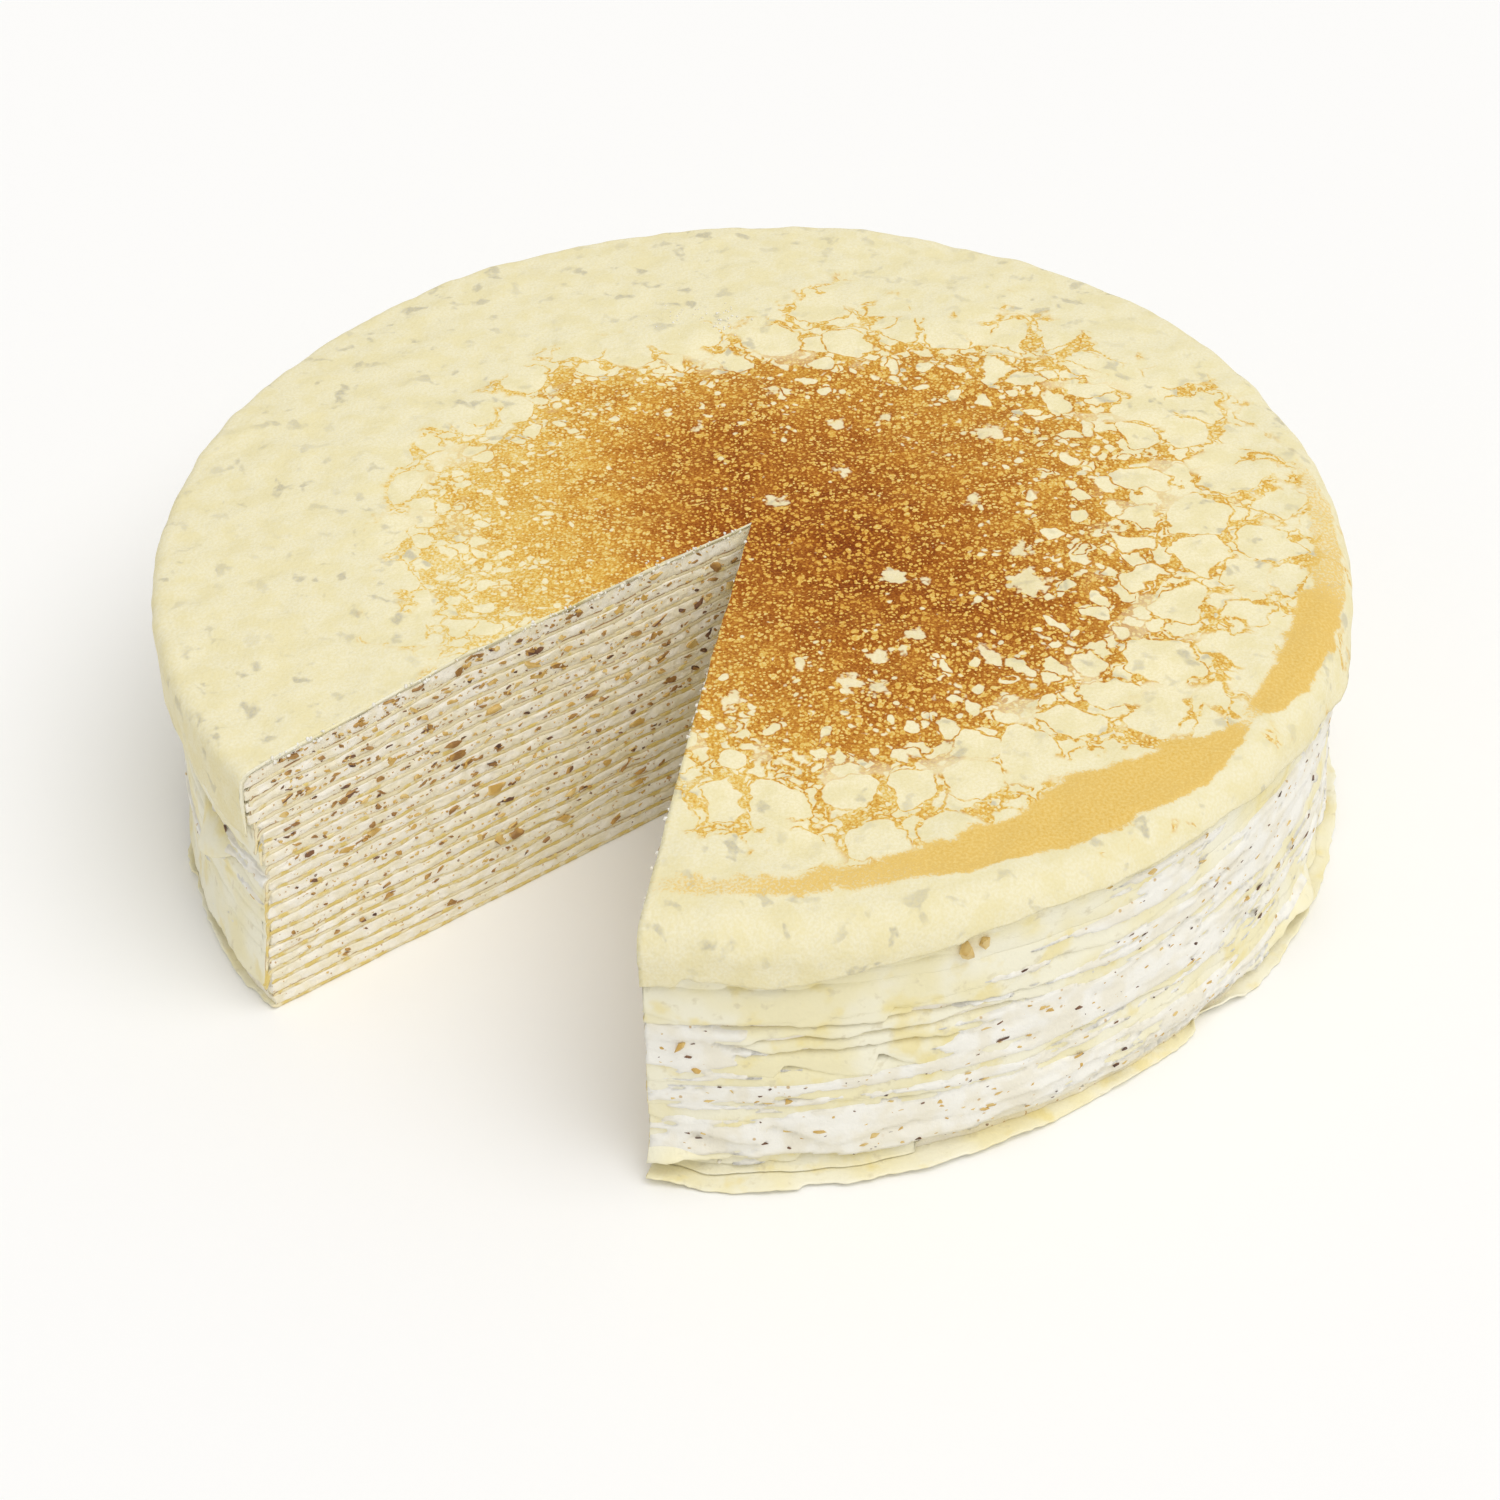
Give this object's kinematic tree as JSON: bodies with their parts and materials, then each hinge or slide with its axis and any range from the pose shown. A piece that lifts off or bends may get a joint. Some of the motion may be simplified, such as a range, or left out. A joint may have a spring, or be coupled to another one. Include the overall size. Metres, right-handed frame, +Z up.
{
  "type": "crepe cake",
  "caption": "Round layered cake of thin crepes with nutty cream between them, a browned crepe draped over the top, and one slice taken out.",
  "frame": {"origin": "on the board under the middle of the cake, at its lowest height", "axes": "+Z up; the missing slice opens towards -Y and a little to -X"},
  "size_m": [0.232, 0.234, 0.0612],
  "materials": {
    "crepe": "matt cooked batter, pale yellow",
    "browned_crepe": "matt cooked batter with a golden brown network",
    "nutty_cream": "soft ivory cream with chopped nuts"
  },
  "bodies": {
    "root": {"crepe_01": "crepe", "crepe_02": "crepe", "crepe_03": "crepe", "crepe_04": "crepe", "crepe_05": "crepe", "crepe_06": "crepe", "crepe_07": "crepe", "crepe_08": "crepe", "crepe_09": "crepe", "crepe_10": "crepe", "crepe_11": "crepe", "crepe_12": "crepe", "crepe_13": "crepe", "crepe_14": "crepe", "crepe_15": "crepe", "crepe_16": "crepe", "crepe_17": "crepe", "crepe_18": "crepe", "crepe_19": "crepe", "crepe_20": "browned_crepe", "cream_01": "nutty_cream", "cream_02": "nutty_cream", "cream_03": "nutty_cream", "cream_04": "nutty_cream", "cream_05": "nutty_cream", "cream_06": "nutty_cream", "cream_07": "nutty_cream", "cream_08": "nutty_cream", "cream_09": "nutty_cream", "cream_10": "nutty_cream", "cream_11": "nutty_cream", "cream_12": "nutty_cream", "cream_13": "nutty_cream", "cream_14": "nutty_cream", "cream_15": "nutty_cream", "cream_16": "nutty_cream", "cream_17": "nutty_cream", "cream_18": "nutty_cream", "cream_19": "nutty_cream"}
  },
  "joints": []
}
